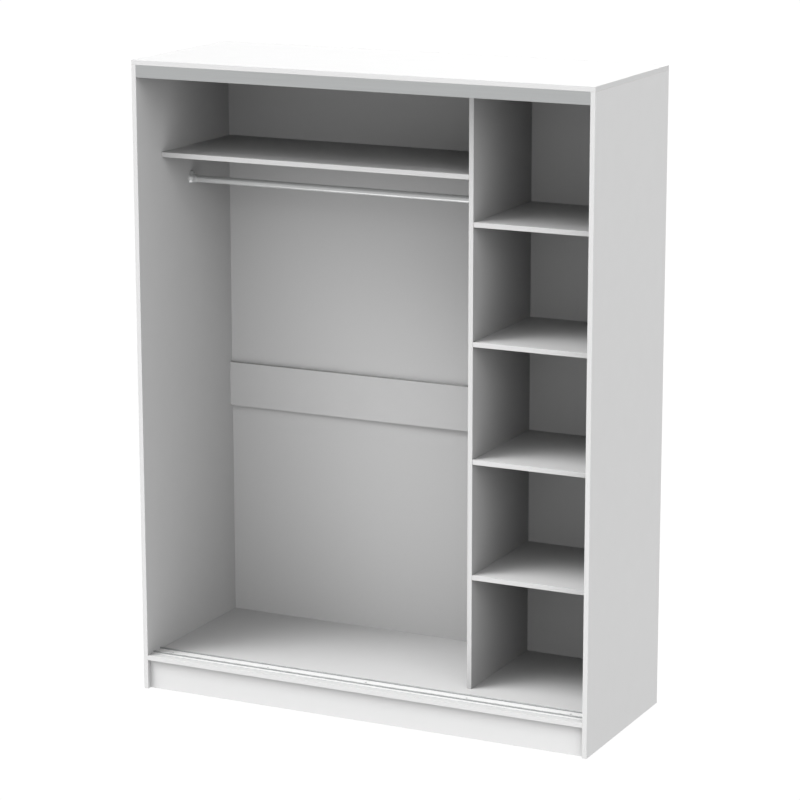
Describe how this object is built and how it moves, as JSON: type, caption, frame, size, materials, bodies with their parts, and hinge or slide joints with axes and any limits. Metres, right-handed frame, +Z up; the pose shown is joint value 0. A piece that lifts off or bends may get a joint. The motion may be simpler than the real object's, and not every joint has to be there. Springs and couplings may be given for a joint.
{
  "type": "wardrobe",
  "caption": "Tall open wardrobe carcass of white boards: wide hanging space with clothes rail and upper shelf, a column of loose shelves, and empty tracks for sliding doors.",
  "frame": {"origin": "on the floor, under the centre of the object's bounding box", "axes": "+Z up, +Y towards the back, +X to the right seen from the front"},
  "size_m": [1.52, 0.577, 2],
  "materials": {
    "white_board": "white melamine-faced chipboard, fine matt texture",
    "back_sheet": "hardboard, white inside, bare brown outside",
    "track_aluminium": "satin anodised",
    "rail_chrome": "bright chrome-plated steel tube",
    "socket_metal": "bright plated die-cast",
    "fitting_steel": "zinc-plated steel",
    "cam_zinc": "die-cast zinc",
    "dowel_wood": "fluted beech",
    "cap_plastic": "white plastic"
  },
  "bodies": {
    "carcass": {"left_side_panel": "white_board", "right_side_panel": "white_board", "top_panel": "white_board", "bottom_panel": "white_board", "divider_panel": "white_board", "upper_shelf": "white_board", "back_rail": "white_board", "front_plinth": "white_board", "rear_plinth": "white_board", "base_support": "white_board", "back_sheet_left_lower": "back_sheet", "back_sheet_left_upper": "back_sheet", "back_sheet_right": "back_sheet", "top_track": "track_aluminium", "bottom_track": "track_aluminium", "rail_socket_left": "socket_metal", "rail_socket_right": "socket_metal", "rail_socket_screws": "fitting_steel", "top_track_screws": "fitting_steel", "bottom_track_screws": "fitting_steel", "back_nails": "fitting_steel", "cam_bolts": "fitting_steel", "shelf_pins": "fitting_steel", "cam_locks": "cam_zinc", "dowels": "dowel_wood", "cam_caps": "cap_plastic"},
    "column_shelf_1": {"column_shelf_1": "white_board"},
    "column_shelf_2": {"column_shelf_2": "white_board"},
    "column_shelf_3": {"column_shelf_3": "white_board"},
    "column_shelf_4": {"column_shelf_4": "white_board"},
    "clothes_rail": {"clothes_rail": "rail_chrome"}
  },
  "joints": [
    {"name": "column_shelf_1_draw", "type": "slide", "parent": "carcass", "child": "column_shelf_1", "axis": [0, -1, 0], "range_m": [0, 0.575]},
    {"name": "column_shelf_2_draw", "type": "slide", "parent": "carcass", "child": "column_shelf_2", "axis": [0, -1, 0], "range_m": [0, 0.575]},
    {"name": "column_shelf_3_draw", "type": "slide", "parent": "carcass", "child": "column_shelf_3", "axis": [0, -1, 0], "range_m": [0, 0.575]},
    {"name": "column_shelf_4_draw", "type": "slide", "parent": "carcass", "child": "column_shelf_4", "axis": [0, -1, 0], "range_m": [0, 0.575]},
    {"name": "clothes_rail_turn", "type": "hinge", "parent": "carcass", "child": "clothes_rail", "pos_m": [-0.22175, 0.0355, 1.593], "axis": [1, 0, 0], "continuous": true}
  ]
}
